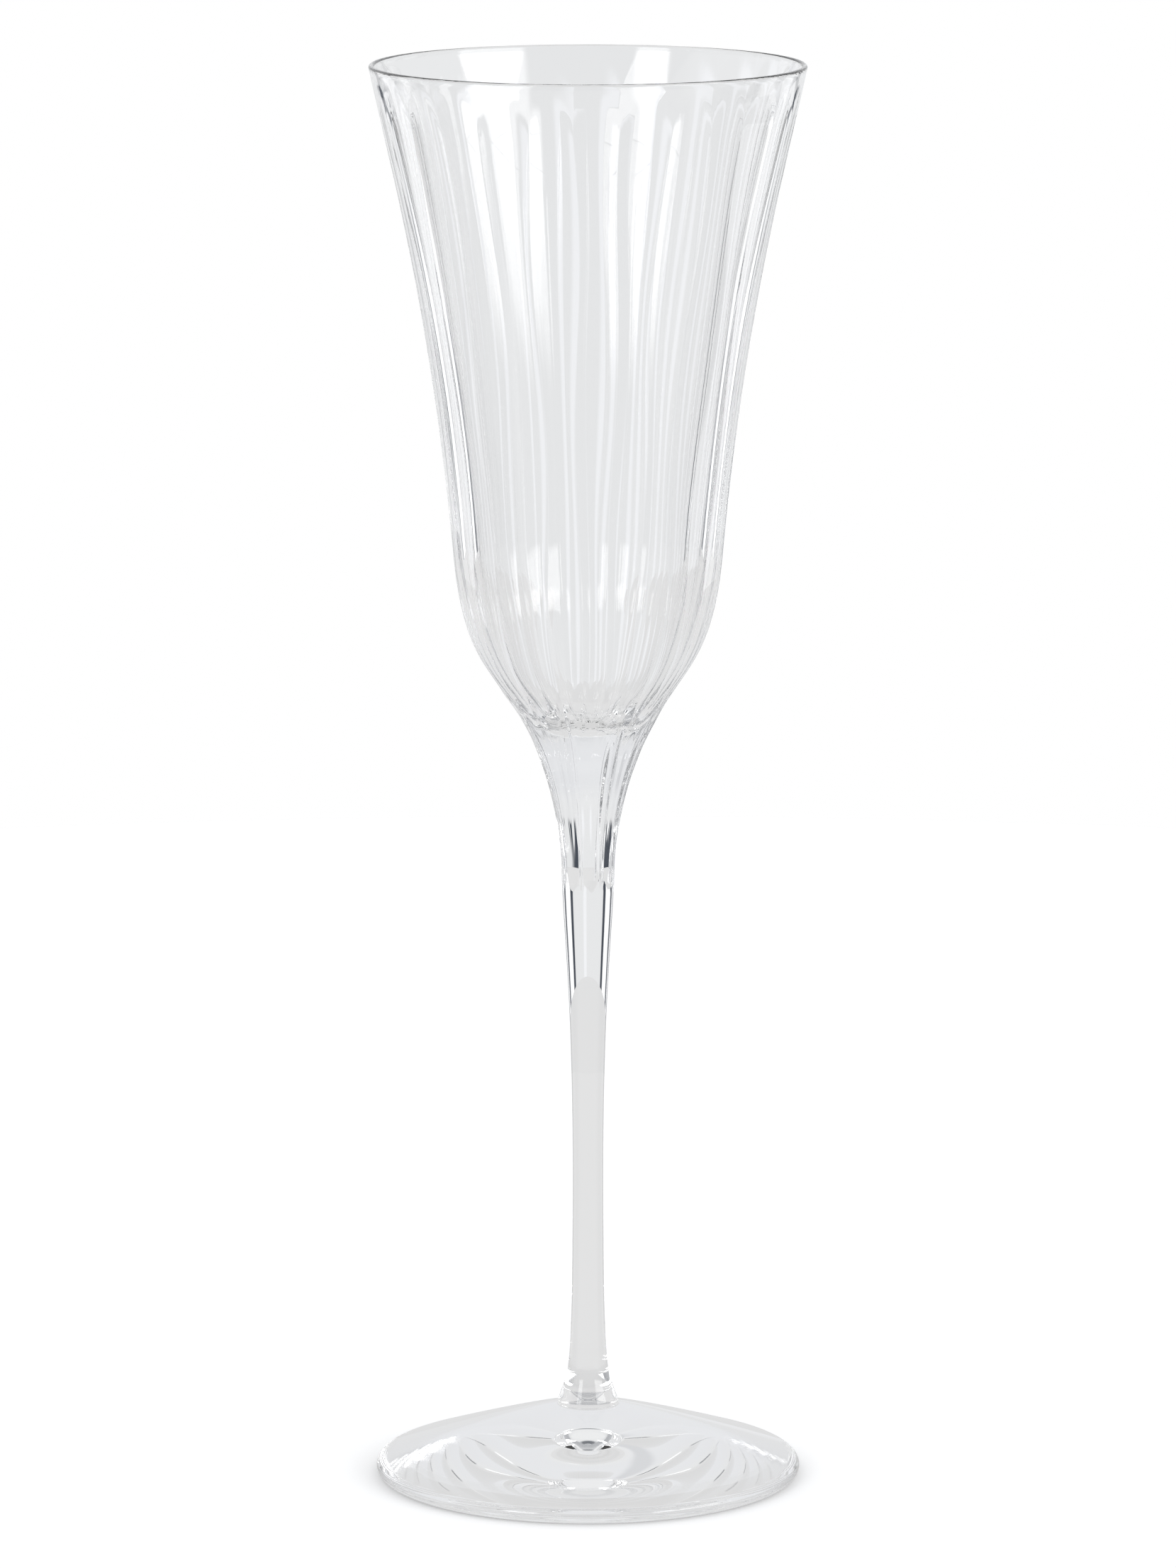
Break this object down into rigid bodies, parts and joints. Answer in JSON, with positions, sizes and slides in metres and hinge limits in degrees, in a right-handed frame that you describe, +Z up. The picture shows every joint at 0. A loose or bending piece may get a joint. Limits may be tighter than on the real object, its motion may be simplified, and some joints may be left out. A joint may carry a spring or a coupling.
{
  "type": "champagne flute",
  "caption": "Tall champagne flute of clear glass: a trumpet bowl with upright cut flutes on a solid root, a slim drawn stem and a shallow domed foot.",
  "frame": {"origin": "centre of the foot's standing ring, on the surface that the glass stands on", "axes": "+Z up the glass's own axis, towards the rim; X and Y lie in the standing plane, and the glass is round about Z"},
  "size_m": [0.077, 0.077, 0.254],
  "materials": {
    "bowl_glass": "fire-polished clear glass with cut flutes",
    "stem_glass": "fire-polished clear glass",
    "foot_glass": "pressed and fire-polished clear glass"
  },
  "bodies": {
    "root": {"bowl": "bowl_glass", "stem": "stem_glass", "foot": "foot_glass"}
  },
  "joints": []
}
